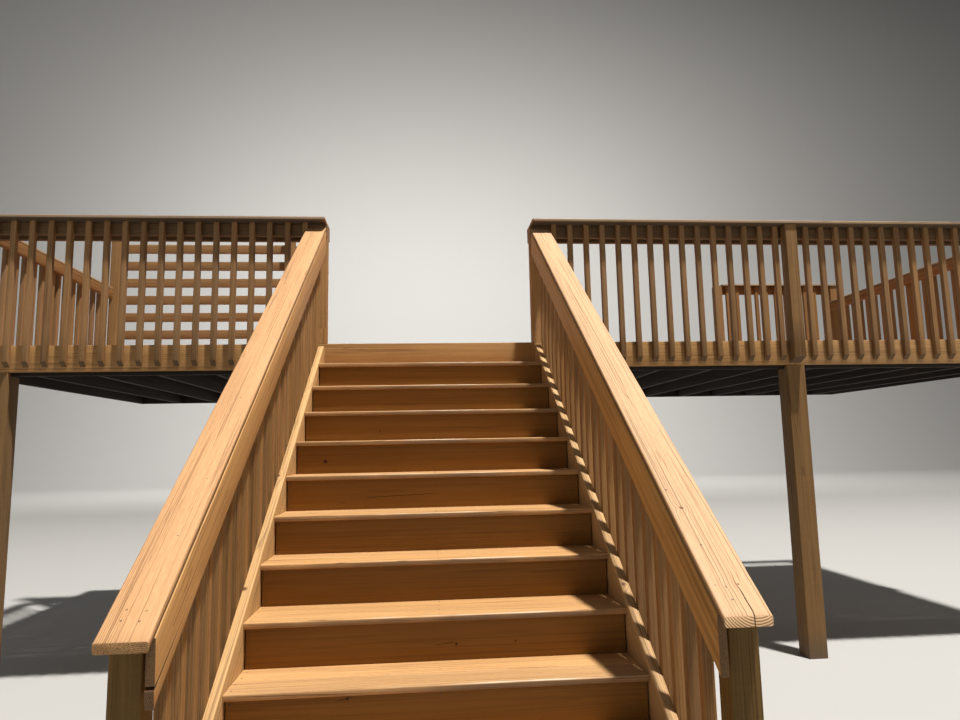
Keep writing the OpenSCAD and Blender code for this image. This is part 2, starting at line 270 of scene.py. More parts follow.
    s = t.add(t.mul(t.step(med, 0.36, 0.66), 0.65), t.mul(t.step(wide, 0.35, 0.65), 0.35))
    colr = t.mix(t.mul(s, streak), light, dark)
    colr = t.mix(t.mul(late_amt, ring), colr, late)
    colr = t.mix(t.mul(hair, lines), colr, tuple(c * 0.72 for c in late))
    if thin:
        colr = t.mix(t.mul(narrow, thin), colr, tuple(c * 0.55 for c in late))
    bright = t.add(1.0, t.mul(t.sub(big, 0.5), patch * 2), t.mul(t.sub(r2, 0.5), tint), t.mul(t.sub(fib, 0.5), fibre * 2))
    if saw:
        cuts = field(95.0, 7.0, 7.0, detail=2.0, rough=0.6)
        bright = t.add(bright, t.mul(t.sub(cuts, 0.5), saw))
    if fleck:
        bright = t.add(bright, t.mul(t.sub(field(34.0, 290.0, 290.0, detail=1.0), 0.5), fleck))
    colr = t.mix(1.0, colr, t.gray(bright), "MULTIPLY")
    warm = t.comb(t.add(1.0, t.mul(t.sub(r1, 0.5), 0.05)), 1.0, t.sub(1.0, t.mul(t.sub(r1, 0.5), 0.14)))
    colr = t.mix(1.0, colr, warm, "MULTIPLY")
    # tn brings each board's tone, painted shade included, from dress
    colr = t.vm("MULTIPLY", colr, tn)
    wearf = t.mul(t.step(t.add(wr, t.mul(t.sub(med, 0.5), 0.55), t.mul(t.sub(big, 0.5), 0.5)), 0.30, 0.85), t.step(wr, 0.0, 0.15))
    colr = t.mix(wearf, colr, worn)
    dirt = t.mul(t.step(t.add(t.mul(wr, -1.0), t.mul(t.sub(med, 0.5), 0.5), t.mul(t.sub(big, 0.5), 0.8)), 0.10, 0.95), t.step(wr, 0.0, -0.15))
    colr = t.mix(dirt, colr, grime)
    colr = t.mix(t.mul(rim, 0.45), colr, late)
    colr = t.mix(t.mul(knot, 0.8), colr, gap)
    colr = t.mix(check, colr, gap)
    # sawn ends: rings, rays and small checks; fresh ones pale with clear rings, others dull
    dark_ring = t.mul(t.step(f, 0.30, 0.62), t.step(f, 1.0, 0.88))
    pale, deep = raw or (light, late)
    cutend = t.mix(dark_ring, pale, deep)
    speck = t.noise(t.vm("MULTIPLY", p, (1.0, 330.0, 330.0)), detail=2.0, rough=0.7)
    dull = t.mix(t.add(t.mul(dark_ring, 0.42), t.mul(t.step(speck, 0.42, 0.66), 0.55)), end, gap)
    colr = t.mix(t.step(en, 0.36, 0.44), colr, t.mix(t.step(en, 0.6, 0.9), dull, cutend))
    torn = t.mul(t.step(en, 0.10, 0.20), t.step(en, 0.36, 0.30))
    colr = t.mix(torn, colr, gap)
    t.put(bsdf.inputs["Base Color"], colr)

    ro = t.add(rough, t.mul(t.sub(med, 0.5), 0.20), t.mul(check, 0.2), t.mul(wearf, 0.08), t.mul(en, 0.12))
    t.put(bsdf.inputs["Roughness"], ro)
    bsdf.inputs["Specular IOR Level"].default_value = 0.22
    h = t.add(t.mul(fib, 0.00014), t.mul(late_amt, 0.00018), t.mul(med, 0.00024), t.mul(hair, -0.00030),
              t.mul(check, -0.0012), t.mul(knot, -0.0004))
    if saw:
        h = t.add(h, t.mul(cuts, saw * 0.004))
    b = t.new("ShaderNodeBump")
    b.inputs["Strength"].default_value = 0.85 * relief
    b.inputs["Distance"].default_value = 1.0
    t.put(b.inputs["Height"], h)
    t.put(bsdf.inputs["Normal"], b.outputs[0])
    return mat


def steel(name, base, rust, rough=0.5):
    """Dull galvanised heads with a little rust."""
    mat = bpy.data.materials.new(name)
    t, bsdf = shader(mat)
    co = t.new("ShaderNodeTexCoord").outputs["Object"]
    n1 = t.noise(t.vm("MULTIPLY", co, (160.0, 160.0, 160.0)), detail=2.0)
    n2 = t.noise(t.vm("MULTIPLY", co, (9.0, 9.0, 9.0)), detail=2.0)
    amt = t.step(t.add(t.mul(n1, 0.6), t.mul(n2, 0.4)), 0.42, 0.62)
    t.put(bsdf.inputs["Base Color"], t.mix(amt, base, rust))
    t.put(bsdf.inputs["Metallic"], t.lin(amt, 0.0, 1.0, 0.55, 0.05))
    t.put(bsdf.inputs["Roughness"], t.lin(amt, 0.0, 1.0, rough, 0.85))
    b = t.new("ShaderNodeBump")
    b.inputs["Strength"].default_value = 0.5
    b.inputs["Distance"].default_value = 1.0
    t.put(b.inputs["Height"], t.mul(n1, 0.0004))
    t.put(bsdf.inputs["Normal"], b.outputs[0])
    return mat


# knots and marks seen on particular boards: place (from the deck front and the ground), radius, ring round it
RISER_SPOTS = [(S(0.066, -2.064, 0.773), 0.0055, True), (S(-0.603, -1.032, 1.490), 0.010, True),
               (S(-0.335, -2.322, 0.672), 0.0045, True), (S(-0.319, -0.774, 1.661), 0.004, True),
               (S(0.305, -2.064, 0.775), 0.0035, True)]
RISER_MARKS = [(S(-0.180, -1.290, 1.3115), 0.215, 0.036), (S(-0.480, -1.290, 1.281), 0.020, 0.0),
               (S(-0.345, -2.322, 0.672), 0.035, 0.25), (S(0.020, -2.064, 0.776), 0.045, 0.10)]
RAIL_SPOTS = [(S(-0.792, -1.960, 0.996), 0.0095, True), (S(-0.796, -1.319, 1.428), 0.008, True),
              (S(0.777, -2.001, 0.968), 0.0095, True)]
BOARD_SPOTS = [(S(0.799, -2.651, 1.336), 0.0065, True), (S(0.801, -2.796, 1.235), 0.004, False),
               (S(0.778, -2.572, 1.391), 0.0045, False)]

MATS = {
    "sunlit_boards": wood("stain_boards", (0.560, 0.310, 0.146), (0.478, 0.248, 0.106), (0.30, 0.146, 0.056),
                          (0.100, 0.043, 0.016), (0.42, 0.24, 0.10), (0.60, 0.46, 0.33), (0.22, 0.135, 0.075),
                          ring=0.10, streak=0.26, lines=0.50, checks=0.35, knots=0.03, patch=0.07, tint=0.08, rough=0.62,
                          thin=0.85, fleck=0.34, raw=((0.82, 0.58, 0.33), (0.34, 0.165, 0.070)), spots=BOARD_SPOTS),
    # The risers are much darker than the treads: partly a darker stain, partly painted shade.
    "riser_boards": wood("risers_stain_and_shade", (0.252, 0.118, 0.024), (0.192, 0.087, 0.018), (0.113, 0.047, 0.010),
                         (0.020, 0.008, 0.003), (0.10, 0.060, 0.030), (0.26, 0.15, 0.08), (0.11, 0.065, 0.03),
                         ring=0.26, streak=0.5, lines=0.25, checks=0.05, knots=0.0, patch=0.13, fibre=0.05, tint=0.12,
                         rough=0.58, relief=0.6, spots=RISER_SPOTS, marks=RISER_MARKS),
    "rails_and_fascia": wood("stain_rails", (0.46, 0.240, 0.086), (0.350, 0.172, 0.056), (0.22, 0.097, 0.029),
                             (0.070, 0.031, 0.012), (0.21, 0.120, 0.055), (0.52, 0.36, 0.24), (0.17, 0.105, 0.06),
                             ring=0.30, streak=0.55, lines=0.50, checks=0.4, knots=0.0, patch=0.14, rough=0.62,
                             thin=0.5, fleck=0.16, spots=RAIL_SPOTS),
    "balusters": wood("stain_balusters", (0.34, 0.180, 0.068), (0.248, 0.125, 0.043), (0.165, 0.076, 0.024),
                      (0.060, 0.028, 0.012), (0.17, 0.100, 0.045), (0.46, 0.32, 0.21), (0.15, 0.09, 0.05),
                      ring=0.30, streak=0.55, lines=0.40, checks=0.3, knots=0.04, patch=0.16, tint=0.26, rough=0.62,
                      thin=0.4, fleck=0.16),
    "posts": wood("stain_posts", (0.30, 0.165, 0.062), (0.215, 0.112, 0.040), (0.145, 0.068, 0.022),
                  (0.035, 0.017, 0.008), (0.16, 0.10, 0.055), (0.36, 0.24, 0.14), (0.14, 0.09, 0.05),
                  ring=0.32, streak=0.6, lines=0.5, checks=0.5, knots=0.05, patch=0.18, rough=0.66, saw=0.22),
    # The framing under the deck is nearly black: painted shade.
    "frame_lumber": wood("frame_lumber_painted_shade", (0.022, 0.014, 0.009), (0.014, 0.009, 0.006), (0.010, 0.006, 0.004),
                         (0.008, 0.005, 0.003), (0.05, 0.035, 0.024), (0.15, 0.11, 0.08), (0.03, 0.022, 0.016),
                         ring=0.45, streak=0.8, lines=0.4, checks=0.6, knots=0.1, patch=0.28, tint=0.3, rough=0.75),
    "fasteners": steel("dull_steel", (0.13, 0.105, 0.085), (0.075, 0.034, 0.015), rough=0.6),
}

# ------------------------------------------------------------------ boards
# per slot: rounding of long edges, its segments, rounding of ends
EDGE = {
    "sunlit_boards": (0.0060, 4, 0.0016),
    "riser_boards": (0.0015, 2, 0.0008),
    "rails_and_fascia": (0.0040, 3, 0.0014),
    "balusters": (0.0030, 2, 0.0012),
    "posts": (0.0048, 3, 0.0018),
    "frame_lumber": (0.0040, 2, 0.0012),
}


def slot_of(n):
    for s in frame["record"]["subparts"]:
        if s["node"] == n:
            return s["material_slot"]
    raise KeyError(n)


def islands(obj):
    """The separate boards of a node, each as a bmesh with whole flat faces."""
    src = bmesh.new()
    src.from_mesh(obj.data)
    bmesh.ops.remove_doubles(src, verts=src.verts, dist=2e-5)
    bmesh.ops.dissolve_limit(src, angle_limit=math.radians(0.6), verts=src.verts, edges=src.edges)
    src.verts.ensure_lookup_table()
    seen, groups = set(), []
    for v in src.verts:
        if v.index in seen:
            continue
        todo, got = [v], []
        seen.add(v.index)
        while todo:
            a = todo.pop()
            got.append(a)
            for e in a.link_edges:
                b = e.other_vert(a)
                if b.index not in seen:
                    seen.add(b.index)
                    todo.append(b)
        groups.append(got)
    out = []
    for got in groups:
        bm = bmesh.new()
        made = {a.index: bm.verts.new(a.co) for a in got}
        faces = {f for a in got for f in a.link_faces}
        for f in sorted(faces, key=lambda f: f.index):
            bm.faces.new([made[a.index] for a in f.verts])
        bmesh.ops.recalc_face_normals(bm, faces=bm.faces)
        out.append(bm)
    src.free()

    def key(bm):
        c = sum((v.co for v in bm.verts), Vector()) / len(bm.verts)
        return (round(c.y, 3), round(c.z, 3), round(c.x, 3))
    out.sort(key=key)
    return out


def signed(v, order):
    """v or its opposite, so that its first large part in the given order is positive."""
    for axis, sign in order:
        if abs(v[axis]) > 0.35:
            return v if v[axis] * sign > 0 else -v
    return v


def axes_of(bm):
    """Directions along, across and through a board, from its longest edge and its widest face."""
    e = max(bm.edges, key=lambda e: (round(e.calc_length(), 4), -e.verts[0].co.z))
    L = signed((e.verts[1].co - e.verts[0].co).normalized(), ((0, 1), (2, 1), (1, 1)))
    faces = [f for f in bm.faces if abs(f.normal.dot(L)) < 0.2]
    f = max(faces, key=lambda f: round(f.calc_area(), 6))
    T = signed((f.normal - L * f.normal.dot(L)).normalized(), ((2, 1), (1, -1), (0, 1)))
    W = signed(L.cross(T).normalized(), ((2, 1), (1, 1), (0, 1)))
    return L, W, T


def spans(bm, axes):
    out = []
    for a in axes:
        d = [v.co.dot(a) for v in bm.verts]
        out.append(((max(d) + min(d)) / 2, (max(d) - min(d)) / 2))
    return out


def cut(bm, at, normal):
    geom = list(bm.verts) + list(bm.edges) + list(bm.faces)
    bmesh.ops.bisect_plane(bm, geom=geom, dist=1e-5, plane_co=at, plane_no=normal)


def smooth_noise(rng, n=5):
    """A smooth random function of one number, between about -1 and 1."""
    terms = [(rng.uniform(0.6, 1.0) / (k + 1) ** 0.6, rng.uniform(0, 6.28), k + 1) for k in range(n)]
    total = sum(a for a, _, _ in terms)
    return lambda x: sum(a * math.sin(k * x * 2.1 + ph) for a, ph, k in terms) / total


def dress(bm, node, index, radius, segs, end_r, step, wcuts=(), wear=None, bend=0.0007, planes=(), grooves=(),
          pith=None, tone=(1, 1, 1), fresh=False, nick=1.0, corner=None, shade=None, torn=None, sharp=None):
    """Rounds a board's edges, cuts it along its length and lets it wander a little, as real lumber does.
    Returns the vertices' and faces' data for the shader."""
    rng = random.Random("%s-%d" % (node, index))
    L, W, T = axes_of(bm)
    (lc, lh), (wc, wh), (tc, th) = spans(bm, (L, W, T))

    def turned(e, lo):
        return len(e.link_faces) == 2 and e.calc_face_angle(0) > math.radians(lo)

    def along(e, d):
        return abs((e.verts[1].co - e.verts[0].co).normalized().dot(d))

    if corner:
        where, r = corner
        picked = [e for e in bm.edges if turned(e, 60) and along(e, Vector((0, 0, 1))) > 0.99
                  and where((e.verts[0].co + e.verts[1].co) / 2)]
        if picked:
            bmesh.ops.bevel(bm, geom=picked, offset=r, offset_type="OFFSET", segments=6, profile=0.5, affect="EDGES",
                            clamp_overlap=True)
        flat = [e for e in bm.edges if turned(e, 60) and along(e, Vector((0, 0, 1))) < 0.2]
        bmesh.ops.bevel(bm, geom=flat, offset=radius, offset_type="OFFSET", segments=segs, profile=0.5, affect="EDGES",
                        clamp_overlap=True)
    else:
        long_edges = [e for e in bm.edges if turned(e, 25) and along(e, L) > 0.9985
                      and not (sharp and sharp((e.verts[0].co + e.verts[1].co) / 2))]
        if radius:
            bmesh.ops.bevel(bm, geom=long_edges, offset=radius, offset_type="OFFSET", segments=segs,
                            profile=0.5, affect="EDGES", clamp_overlap=True)
        rest = [e for e in bm.edges if turned(e, 40) and along(e, L) < 0.995
                and not (sharp and sharp((e.verts[0].co + e.verts[1].co) / 2))]
        if end_r and rest:
            bmesh.ops.bevel(bm, geom=rest, offset=end_r, offset_type="OFFSET", segments=1,
                            profile=0.5, affect="EDGES", clamp_overlap=False)
    n = int(2 * lh / step)
    for k in range(1, n):
        cut(bm, L * (lc - lh + 2 * lh * k / n), L)
    for d in wcuts:
        cut(bm, W * (wc - wh + d if d > 0 else wc + wh + d), W)
    for at, normal in planes:
        cut(bm, at, normal)
    gc = bm.verts.layers.float_vector.new("gc")
    br = bm.verts.layers.float_vector.new("br")
    pt = bm.verts.layers.float_vector.new("pt")
    tn = bm.verts.layers.float_vector.new("tn")
    wr = bm.verts.layers.float.new("wr")
    en = bm.faces.layers.float.new("en")
    bm.normal_update()
    rnd = Vector((rng.random(), rng.random(), rng.random()))
    if pith is None:
        side = 1 if rng.random() < 0.5 else -1
        pith = (rng.uniform(-0.06, 0.06), side * rng.uniform(0.028, 0.088), rng.uniform(0.0034, 0.0056))
    bowt, boww, e1, e2 = (smooth_noise(rng) for _ in range(4))
    at, aw = rng.uniform(-1, 1) * bend, rng.uniform(-1, 1) * bend
    cup = rng.uniform(-0.5, 0.7) * bend if wh > 0.05 else 0.0
    for f in bm.faces:
        if abs(f.normal.dot(L)) > 0.55:
            f[en] = 1.0 if fresh else 0.5
        elif torn and torn(f):
            f[en] = 0.25
        else:
            f[en] = 0.0
        f.smooth = True
    for v in bm.verts:
        a, b, c = v.co.dot(L) - lc, v.co.dot(W) - wc, v.co.dot(T) - tc
        v[gc] = (a, b, c)
        v[br] = rnd
        v[pt] = pith
        # shade darkens parts of a board as painted shade; on the caps' edges it stands for some dirt as well
        k = shade(a, b, c, lh, wh, th) if shade else 1.0
        v[tn] = (tone[0] * k, tone[1] * k, tone[2] * k)
        v[wr] = wear(a, b, c, lh, wh, th) if wear else 0.0
    for g in grooves:
        g(bm)
    for v in bm.verts:
        a, b, c = v[gc]
        s = min(1.0, (lh - abs(a)) / 0.15) if lh > 0.3 else 0.0
        d = T * (at * math.sin(math.pi * (a / lh + 1) / 2) * s + cup * ((b / wh) ** 2 - 0.33))
        d += W * (aw * bowt(a * 1.3) * s)
        if radius and abs(b) > wh - radius * 1.05 and abs(c) > th - radius * 1.05:
            dent = max(0.0, e1(a * 9 + b * 30) * e2(a * 23 - c * 40)) * 0.0012 * min(1.0, radius / 0.004) * nick
            d -= (W * math.copysign(1, b) + T * math.copysign(1, c)) * dent
        v.co += d
    return bm


def crack(face, across, at, width, depth, path, keep):
    """A split in a board: three cuts side by side along the grain, the middle one pushed in.
    face is the outward direction, at the place across, path(point) how deep (0 to 1) and how far aside,
    keep(point) picks the points of the face."""
    planes = [(across * (at + k * width / 2), across) for k in (-1, 0, 1)]

    def groove(bm):
        en = bm.faces.layers.float["en"]
        for f in bm.faces:
            c = sum((v.co for v in f.verts), Vector()) / len(f.verts)
            if abs(c.dot(across) - at) < width / 2 and keep(c) and path(c)[0] > 0.3:
                f[en] = 0.25
        for v in bm.verts:
            k = (v.co.dot(across) - at) / (width / 2)
            if abs(k - round(k)) < 0.02 and abs(k) < 1.1 and keep(v.co):
                deep, aside = path(v.co)
                if abs(k) < 0.5:
                    v.co -= face * (depth * deep)
                else:
                    v.co -= across * (round(k) * width / 2 * (1 - min(1.0, 0.25 + deep)))
                v.co += across * aside
    return planes, groove


def join(parts, name):
    """One mesh object of many bmeshes, their shader data kept."""
    co, faces, gcs, brs, pts, tns, wrs, ens = [], [], [], [], [], [], [], []
    base = 0
    for bm in parts:
        gc = bm.verts.layers.float_vector["gc"]
        br = bm.verts.layers.float_vector["br"]
        pt = bm.verts.layers.float_vector["pt"]
        tn = bm.verts.layers.float_vector["tn"]
        wr = bm.verts.layers.float["wr"]
        en = bm.faces.layers.float["en"]
        bm.verts.index_update()
        for v in bm.verts:
            co.append(v.co[:])
            gcs.append(v[gc][:])
            brs.append(v[br][:])
            pts.append(v[pt][:])
            tns.append(v[tn][:])
            wrs.append(v[wr])
        for f in bm.faces:
            faces.append([base + v.index for v in f.verts])
            ens.append(f[en])
        base += len(bm.verts)
        bm.free()
    me = bpy.data.meshes.new(name)
    me.from_pydata(co, [], faces)
    for nm, kind, data in (("gc", "FLOAT_VECTOR", gcs), ("br", "FLOAT_VECTOR", brs), ("pt", "FLOAT_VECTOR", pts), ("tn", "FLOAT_VECTOR", tns)):
        at = me.attributes.new(nm, kind, "POINT")
        at.data.foreach_set("vector", np.array(data, np.float32).ravel())
    at = me.attributes.new("wr", "FLOAT", "POINT")
    at.data.foreach_set("value", np.array(wrs, np.float32))
    at = me.attributes.new("en", "FLOAT", "FACE")
    at.data.foreach_set("value", np.array(ens, np.float32))
    me.update()
    ob = bpy.data.objects.new(name, me)
    bpy.context.scene.collection.objects.link(ob)
    return ob


def finish_piece(ob, slot, node=None, sharp=35):
    me = ob.data
    me.materials.clear()
    me.materials.append(MATS[slot])
    for p in me.polygons:
        p.use_smooth = True
    me.set_sharp_from_angle(angle=math.radians(sharp))
    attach(ob, "root")
    if node:
        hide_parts(node)
    return ob


# how worn a place on a tread is: along the front edge, more towards the middle and right
def tread_wear(k):
    rng = random.Random("wear-%d" % k)
    f = smooth_noise(rng, 6)
    g = smooth_noise(rng, 6)
    mid = rng.uniform(-0.05, 0.30)

    def wear(a, b, c, lh, wh, th):
        along = math.exp(-(((a - mid) / 0.55) ** 2))
        if c > th - 0.0045 and b < -wh + 0.0125:
            edge = math.exp(-(((b + wh - 0.003) / 0.005) ** 2))
            return max(0.0, edge * (0.10 + 0.80 * along) * (0.80 + 0.45 * f(a * 5)))
        if b < -wh + 0.004:
            return -max(0.0, 0.35 + 0.45 * along + 0.30 * g(a * 3))
        return max(0.0, 0.12 * along + 0.06 * f(a * 2))
    return wear


def post_wear(a, b, c, lh, wh, th):
    """Soil on the lowest part of a post that stands on the ground."""
    up = a + lh
    return -0.9 * math.exp(-((up / 0.16) ** 2))


def tone_of(name, at):
    """The stain's tone on one board, against its material's own colours; some tones are darker as painted shade."""
    front = at.y < DECK_FRONT + 0.25
    if name == "stair_cap_right":
        return (1.03, 1.14, 1.32)
    if name.startswith("tread_"):
        return (0.90, 0.92, 0.82)
    if name in ("stringer_left", "stringer_right"):
        return (1.15, 1.36, 1.70)
    # Foot posts are darker and greener: painted shade under the cap ends and a painted green reflection.
    if name == "foot_posts":
        return (0.50, 0.52, 0.36)
    if name == "support_posts":
        return (0.74, 0.74, 0.72)
    if name in ("rail_posts", "screen_posts"):
        return (0.92, 0.92, 0.92)
    if name == "head_posts":
        return (1.35, 1.30, 1.25)
    if name == "stair_balusters_left":
        return (0.92, 0.92, 0.90)
    if name == "stair_rail_left":
        return (1.20, 1.22, 1.20)
    if name == "stair_rail_right":
        return (1.14, 1.18, 1.02)
    if name.startswith("fascia"):
        return (0.93, 0.99, 1.08)
    # Front deck rails are darker: painted shade under the caps' overhang.
    if name == "deck_rails":
        return (0.33, 0.37, 0.50) if front else (0.58, 0.55, 0.52)
    if name == "balusters_back":
        return (0.80, 0.78, 0.74)
    if name.startswith("screen_s"):
        return (0.62, 0.65, 0.72)
    if name.startswith("balusters"):
        return (0.84, 0.88, 1.00)
    if name == "decking":
        return (0.80, 0.76, 0.74)
    if name == "deck_caps":
        return (0.60, 0.74, 0.96)
    return (1, 1, 1)


CAP_TOP = 4 * RISE + 0.837 + 0.695 * (9 * GOING + NOSING)     # cap top over the deck front, from the ground
X, Y, Z = Vector((1, 0, 0)), Vector((0, 1, 0)), Vector((0, 0, 1))


def cap_split(v):
    near = 1 - (v.y - S(0, -3.027, 0).y) / 0.155
    deep = max(0.0, min(1.0, near * 1.15))
    s = v.y - S(0, -3.027, 0).y
    return deep, (0.0022 * math.sin(s * 46.0) + 0.0012 * math.sin(s * 110.0)) * (1 if near > 0 else 0)


def cap_cracks():
    """The right cap's low end: a split along its top; cap_end_split makes the split down its end."""
    low = S(0, -3.027, 0).y
    return crack(Vector((0, -0.571, 0.821)), X, 0.8465, 0.0030, 0.0060, cap_split,
                 lambda v: v.z > S(0, 0, CAP_TOP).z + 0.695 * (v.y - DECK_FRONT) - 0.0035 and v.y < low + 0.16)


def cap_end_split():
    low = S(0, -3.027, 0).y
    return crack(-Y, X, 0.8465, 0.0030, 0.0045, lambda v: (1.0, 0.0), lambda v: v.y < low + 0.0030)


def rail_check():
    """A surface check along the left rail board."""
    n = Vector((0, -0.571, 0.821))
    top = S(0, 0, CAP_TOP)
    at = top.dot(n) - 0.0975
    lo, hi = S(0, -2.86, 0).y, S(0, -2.33, 0).y
    return crack(X, n, at, 0.0024, 0.0035,
                 lambda v: (max(0.0, math.sin(math.pi * min(1.0, max(0.0, (v.y - lo) / (hi - lo))))) ** 0.5, 0.0012 * math.sin(v.y * 13.0)),
                 lambda v: v.x > -0.7586 and lo - 0.01 < v.y < hi + 0.01)


def in_split(c):
    """Whether a place is inside the split at the low end of the left rail board."""
    y = c.y - DECK_FRONT
    depth = (CAP_TOP + 0.695 * y - (c.z - GROUND)) / 1.2178
    up = min(1.0, max(0.0, (y + 2.986) / 0.346))
    top = 0.129 + 0.013 * up
    return y < -2.645 and top - 0.0015 < depth < top + 0.0095 - 0.0075 * up


def cap_dirt_and_shade(a, b, c, lh, wh, th):
    """The lower half of a cap's long edges is darker: painted shade in the groove under the rounded edge, with some
    dirt. Its underside is darker too: painted shade.
    """
    if abs(b) > wh - 0.0065:
        return 0.24 + 0.76 * min(1.0, max(0.0, (c + 0.007) / 0.013))
    return 0.30 if c < -th + 0.002 else 1.0


def riser_painted_shade(a, b, c, lh, wh, th):
    """The top of a riser, close under the nosing, is darker: painted shade."""
    return 0.93 + 0.07 * min(1.0, max(0.0, (wh - b) / 0.060))


# A board's underside is darker: painted shade.
def underside_painted_shade(a, b, c, lh, wh, th):
    return 0.30 if c < -th + 0.004 else 1.0


pieces, boards = {}, {}
for name in sorted(NODES):
    slot = slot_of(name)
    r, segs, er = EDGE[slot]
    parts = []
    boards[name] = []
    for i, bm in enumerate(islands(NODES[name])):
        lo = Vector([min(v.co[k] for v in bm.verts) for k in range(3)])
        hi = Vector([max(v.co[k] for v in bm.verts) for k in range(3)])
        boards[name].append((lo, hi))
        kw = dict(step=0.30, tone=tone_of(name, (lo + hi) / 2))
        if name.startswith("tread_"):
            k = int(name[-2:])
            front = i == 0
            kw.update(step=0.05 if front else 0.09, wcuts=(0.010, 0.016, 0.030) if front else (), wear=tread_wear(k) if front else None,
                      nick=2.2 if front else 1.0)
        elif name == "stair_cap_right":
            (p1, g1), (p2, g2) = cap_cracks(), cap_end_split()
            kw.update(step=0.035, planes=p1, grooves=(g1, g2), pith=(0.018, 0.088, 0.0063), fresh=True, shade=cap_dirt_and_shade)
        elif name == "risers":
            kw.update(wcuts=(-0.030, -0.060), shade=riser_painted_shade)
        elif name == "stair_cap_left":
            kw.update(step=0.06, pith=(0.045, -0.075, 0.0040), shade=cap_dirt_and_shade)
        elif name == "stair_rail_left":
            p1, g1 = rail_check()
            kw.update(step=0.05, planes=p1, grooves=(g1,), sharp=in_split, torn=lambda f: in_split(f.calc_center_median()))
        elif name in ("stringer_left", "stringer_right", "stair_rail_right"):
            kw.update(step=0.06)
        elif name == "foot_posts":
            kw.update(wear=post_wear, step=0.10)
        elif name == "support_posts":
            kw.update(wear=post_wear, step=0.10)
        elif name == "deck_caps":
            kw.update(step=0.15, corner=(lambda c: abs(c.x) < 0.95 and c.y < DECK_FRONT + 0.4, 0.014), shade=underside_painted_shade)
        elif name in ("fascia_front", "deck_rails"):
            kw.update(step=0.15)
        elif "baluster" in name:
            kw.update(step=0.25, bend=0.0012)
        parts.append(dress(bm, name, i, r, segs, er, **kw))
    ob = join(parts, name + "_lumber")
    finish_piece(ob, slot, name)
    pieces[name] = ob

# ------------------------------------------------------------------ nails and screws
class Heads:
    """Many small round heads in one mesh."""

    def __init__(self, name, seed):
        self.name, self.co, self.faces = name, [], []
        self.rng = random.Random(seed)

    def add(self, at, out, r=0.004, up=0.0006, dish=0.4, sides=10):
        """A head of radius r that stands out by up, with a dimple."""
        out = Vector(out).normalized()
        a = out.orthogonal().normalized()
        b = out.cross(a)
        turn = self.rng.uniform(0, 6.28)
        rings = [(r * 0.9, -0.004), (r, up * 0.2), (r * 0.82, up), (r * dish, up), (r * dish * 0.8, up - 0.0012)]
        base = len(self.co)
        for rad, h in rings:
            for k in range(sides):
                t = turn + k / sides * 2 * math.pi
                self.co.append(at + a * (rad * math.cos(t)) + b * (rad * math.sin(t)) + out * h)
        for i in range(len(rings) - 1):
            for k in range(sides):
                p, q = base + i * sides + k, base + i * sides + (k + 1) % sides
                self.faces.append((p, q, q + sides, p + sides))
        self.faces.append(tuple(base + k for k in reversed(range(sides))))
        last = base + (len(rings) - 1) * sides
        self.faces.append(tuple(last + k for k in range(sides)))

    def near(self, at, out, spread=0.003, **k):
        """The same, set down a little off the mark."""
        out = Vector(out).normalized()
        a = out.orthogonal().normalized()
        b = out.cross(a)
        self.add(at + a * self.rng.uniform(-spread, spread) + b * self.rng.uniform(-spread, spread), out, **k)

    def make(self):
        me = bpy.data.meshes.new(self.name)
        me.from_pydata([tuple(c) for c in self.co], [], self.faces)
        me.update()
        ob = bpy.data.objects.new(self.name, me)
        bpy.context.scene.collection.objects.link(ob)
        me.materials.append(MATS["fasteners"])
        for p in me.polygons:
            p.use_smooth = True
        me.set_sharp_from_angle(angle=math.radians(40))
        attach(ob, "root")
        return ob


def cap_point(x, y):
    """A point on top of a stair cap, y from the deck front."""
    return S(x, y, CAP_TOP + 0.695 * y)


SLOPE_UP = Vector((0, -0.571, 0.821))
carriages = sorted((lo.x + hi.x) / 2 for n in NODES if n.startswith("carriage") for lo, hi in boards[n])

treads = Heads("tread_screws", 11)
for n in sorted(NODES):
    if n.startswith("tread_"):
        for lo, hi in boards[n]:
            for x in carriages:
                for y in (lo.y + 0.034, hi.y - 0.034):
                    treads.near(Vector((x, y, hi.z)), Z, spread=0.004, r=0.0038, up=0.0003)
for lo, hi in boards["risers"]:
    for x in carriages:
        for z in (lo.z + 0.043, hi.z - 0.013):
            treads.near(Vector((x, lo.y, z)), -Y, spread=0.003, r=0.0036, up=0.0005)
treads.make()

caps = Heads("cap_nails", 12)
for x, y in ((-0.854, -2.939), (-0.800, -2.944), (-0.855, -2.970), (-0.806, -2.973), (-0.808, -2.703), (-0.799, -2.471),
             (-0.812, -2.02), (-0.806, -1.56), (-0.815, -1.10), (-0.808, -0.64), (-0.85, -0.12), (-0.80, -0.10),
             (0.780, -2.932), (0.809, -2.938), (0.850, -2.931), (0.809, -2.977), (0.847, -2.975),
             (0.806, -2.10), (0.812, -1.64), (0.804, -1.18), (0.810, -0.72), (0.85, -0.12), (0.80, -0.10)):
    caps.add(cap_point(x, y), SLOPE_UP, r=0.0034, up=0.0002)
for lo, hi in boards["deck_caps"]:
    size = hi - lo
    ax = 0 if size.x > size.y else 1
    n = max(2, round(size[ax] / 0.6))
    for k in range(n + 1):
        s = lo[ax] + 0.05 + (size[ax] - 0.10) * k / n
        for across in (0.32, 0.68):
            p = Vector((s, lo.y + size.y * across, hi.z)) if ax == 0 else Vector((lo.x + size.x * across, s, hi.z))
            caps.near(p, Z, spread=0.006, r=0.0036, up=0.0003)
caps.make()

deck = Heads("decking_screws", 13)
lines = sorted({round((lo.x + hi.x) / 2, 3) for lo, hi in boards["joists"]})
for lo, hi in boards["decking"]:
    for x in lines:
        if lo.x + 0.02 < x < hi.x - 0.02:
            for y in (lo.y + 0.032, hi.y - 0.032):
                deck.near(Vector((x, y, hi.z)), Z, spread=0.004, r=0.0038, up=0.0002, sides=8)
deck.make()

